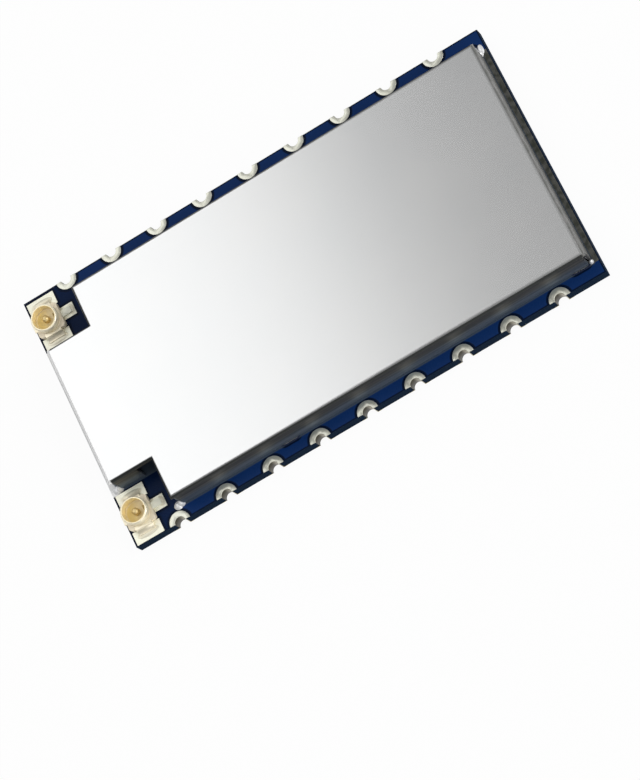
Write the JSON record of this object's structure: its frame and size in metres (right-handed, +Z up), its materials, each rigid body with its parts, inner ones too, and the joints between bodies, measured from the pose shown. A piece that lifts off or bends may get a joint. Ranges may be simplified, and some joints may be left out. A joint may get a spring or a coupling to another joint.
{
  "type": "surface-mount radio transceiver module",
  "caption": "Flat radio module for soldering onto a larger board: plated half-holes along both long edges, a folded screening can, and micro coaxial receptacles in its corner notches.",
  "frame": {"origin": "middle of the whole plan, level with the faces of the underside lands", "axes": "+X along the board, away from the receptacles; +Y across it; +Z up through the screening can"},
  "size_m": [0.0378, 0.0204, 0.0032],
  "materials": {
    "solder_mask_laminate": "satin blue solder mask over glass laminate",
    "gold_plate": "pale immersion gold over nickel and copper",
    "can_sheet": "satin tinned sheet",
    "solder": "bright solder",
    "receptacle_gold": "gold-plated phosphor bronze",
    "receptacle_moulding": "pale moulded liquid-crystal polymer",
    "chip_moulding": "black moulding compound",
    "tinned_terminal": "matt tin",
    "oscillator_ceramic": "brown-grey ceramic",
    "oscillator_lid_metal": "gold-flashed lid",
    "coil_ferrite": "dark grey ferrite",
    "capacitor_ceramic": "tan ceramic",
    "resistor_film": "black glaze on alumina",
    "inductor_ceramic": "pale ceramic",
    "filter_ceramic": "blue-grey ceramic"
  },
  "bodies": {
    "root": {"circuit_board": "solder_mask_laminate", "front_edge_contacts": "gold_plate", "back_edge_contacts": "gold_plate", "large_ground_land": "gold_plate", "small_ground_land": "gold_plate", "slot_linings": "gold_plate", "shield_can": "can_sheet", "shield_leg_solder": "solder", "shield_corner_solder": "solder", "transceiver_chip": "chip_moulding", "transceiver_terminals": "tinned_terminal", "power_amplifier_chip": "chip_moulding", "power_amplifier_terminals": "tinned_terminal", "antenna_switch_chip": "chip_moulding", "antenna_switch_terminals": "tinned_terminal", "clock_oscillator_base": "oscillator_ceramic", "clock_oscillator_lid": "oscillator_lid_metal", "voltage_regulator_body": "chip_moulding", "voltage_regulator_leads": "tinned_terminal", "supply_inductor_core": "coil_ferrite", "supply_inductor_terminals": "tinned_terminal", "harmonic_filter_body": "filter_ceramic", "harmonic_filter_terminals": "tinned_terminal", "capacitor_bodies": "capacitor_ceramic", "capacitor_end_caps": "tinned_terminal", "resistor_bodies": "resistor_film", "resistor_end_caps": "tinned_terminal", "matching_inductor_bodies": "inductor_ceramic", "matching_inductor_end_caps": "tinned_terminal", "coax_lands_a": "gold_plate", "coax_shell_a": "receptacle_gold", "coax_insulator_a": "receptacle_moulding", "coax_centre_contact_a": "receptacle_gold", "coax_lands_b": "gold_plate", "coax_shell_b": "receptacle_gold", "coax_insulator_b": "receptacle_moulding", "coax_centre_contact_b": "receptacle_gold"}
  },
  "joints": []
}
